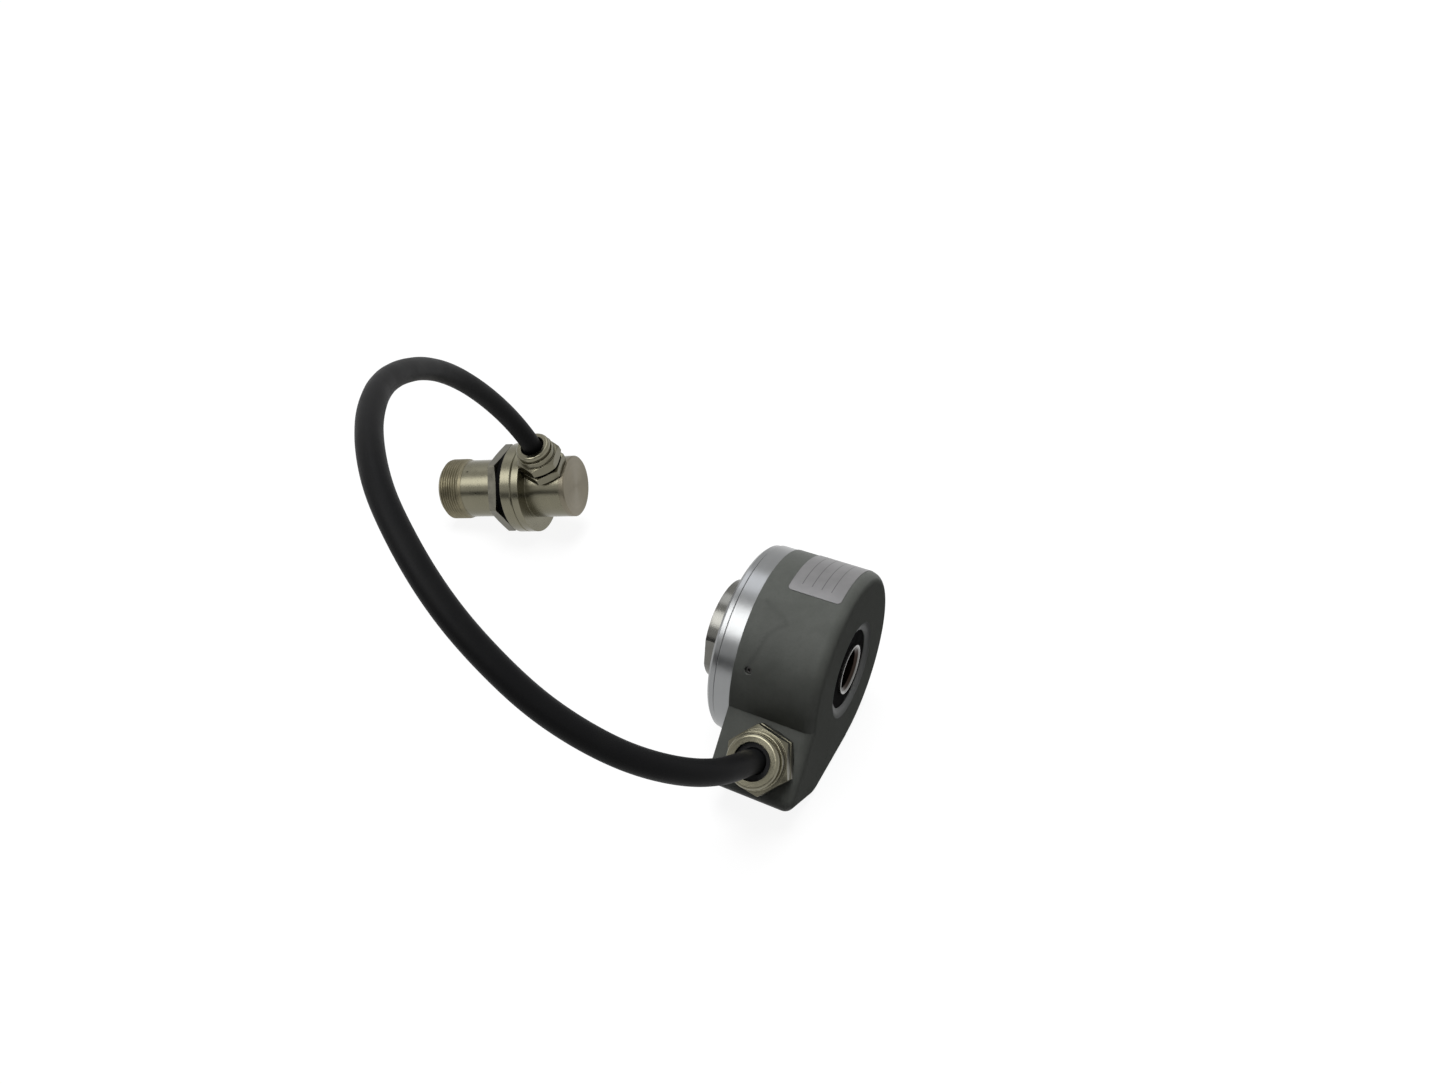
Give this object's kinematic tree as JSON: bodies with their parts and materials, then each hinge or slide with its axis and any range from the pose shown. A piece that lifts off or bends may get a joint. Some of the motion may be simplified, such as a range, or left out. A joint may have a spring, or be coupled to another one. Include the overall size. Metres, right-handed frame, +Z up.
{
  "type": "hollow shaft rotary encoder",
  "caption": "Hollow shaft rotary encoder with a round flange, clamping ring, grey housing with cable lug, and a short cable to an angled round connector.",
  "frame": {"origin": "on the shaft axis, in the plane where the flange's rim meets the housing", "axes": "+X along the shaft from the flange towards the housing's rear face, +Z up as the part lies on a table, foot down"},
  "size_m": [0.1856, 0.1579, 0.1134],
  "materials": {
    "cast_housing": "die-cast, blasted and grey coated",
    "turned_aluminium": "turned, bright",
    "ground_steel": "ground",
    "clamp_steel": "turned, nickel tint",
    "black_steel": "blackened",
    "bearing_steel": "polished",
    "nickel_brass": "nickel plated, satin",
    "worn_thread": "nickel plated, worn thread",
    "bright_brass": "bare brass",
    "gold_contact": "gold flashed",
    "black_rubber": "matt",
    "cable_jacket": "matt extruded jacket",
    "black_plastic": "moulded",
    "pale_plastic": "moulded",
    "red_plastic": "clear red moulding",
    "lead_insulation": "extruded",
    "board_laminate": "solder mask",
    "disc_glass": "ground glass with a line track",
    "label_foil": "silver grey foil"
  },
  "bodies": {
    "stator": {"flange": "turned_aluminium", "housing": "cast_housing", "housing_o_ring": "black_rubber", "housing_set_screws": "black_steel", "label": "label_foil", "front_seal": "black_rubber", "front_outer_race": "bearing_steel", "race_spacer": "turned_aluminium", "rear_outer_race": "bearing_steel", "retaining_ring": "black_steel", "led_holder": "black_plastic", "light_source": "red_plastic", "scanning_mask": "disc_glass", "sensor_chip": "black_plastic", "circuit_board": "board_laminate", "board_spacers": "bright_brass", "board_screws": "ground_steel", "board_plug": "pale_plastic", "inner_leads": "lead_insulation", "rear_seal": "black_rubber", "gland_washer": "black_rubber", "gland_body": "nickel_brass", "gland_seal": "black_rubber", "gland_claw": "black_plastic", "gland_nut": "nickel_brass", "cable": "cable_jacket", "connector_elbow": "nickel_brass", "connector_end_cap": "nickel_brass", "connector_shell": "nickel_brass", "connector_nose": "worn_thread", "connector_gasket": "black_rubber", "connector_lock_nut": "nickel_brass", "connector_insert": "black_plastic", "connector_pins": "gold_contact", "elbow_gland_body": "nickel_brass", "elbow_gland_seal": "black_rubber", "elbow_gland_nut": "nickel_brass"},
    "rotor": {"hollow_shaft": "ground_steel", "clamping_ring": "clamp_steel", "clamp_screw": "black_steel", "front_inner_race": "bearing_steel", "rear_inner_race": "bearing_steel", "disc_hub": "turned_aluminium", "disc_hub_screws": "black_steel", "code_disc": "disc_glass"},
    "front_ball_set": {"front_balls": "bearing_steel", "front_cage": "bright_brass"},
    "rear_ball_set": {"rear_balls": "bearing_steel", "rear_cage": "bright_brass"}
  },
  "joints": [
    {"name": "shaft_turn", "type": "hinge", "parent": "stator", "child": "rotor", "pos_m": [0, 0, 0], "axis": [1, 0, 0], "continuous": true},
    {"name": "front_balls_turn", "type": "hinge", "parent": "stator", "child": "front_ball_set", "pos_m": [0, 0, 0], "axis": [1, 0, 0], "continuous": true},
    {"name": "rear_balls_turn", "type": "hinge", "parent": "stator", "child": "rear_ball_set", "pos_m": [0, 0, 0], "axis": [1, 0, 0], "continuous": true}
  ],
  "couplings": [
    {"joint": "front_balls_turn", "follows": "shaft_turn", "ratio": 0.43846},
    {"joint": "rear_balls_turn", "follows": "shaft_turn", "ratio": 0.43846}
  ]
}
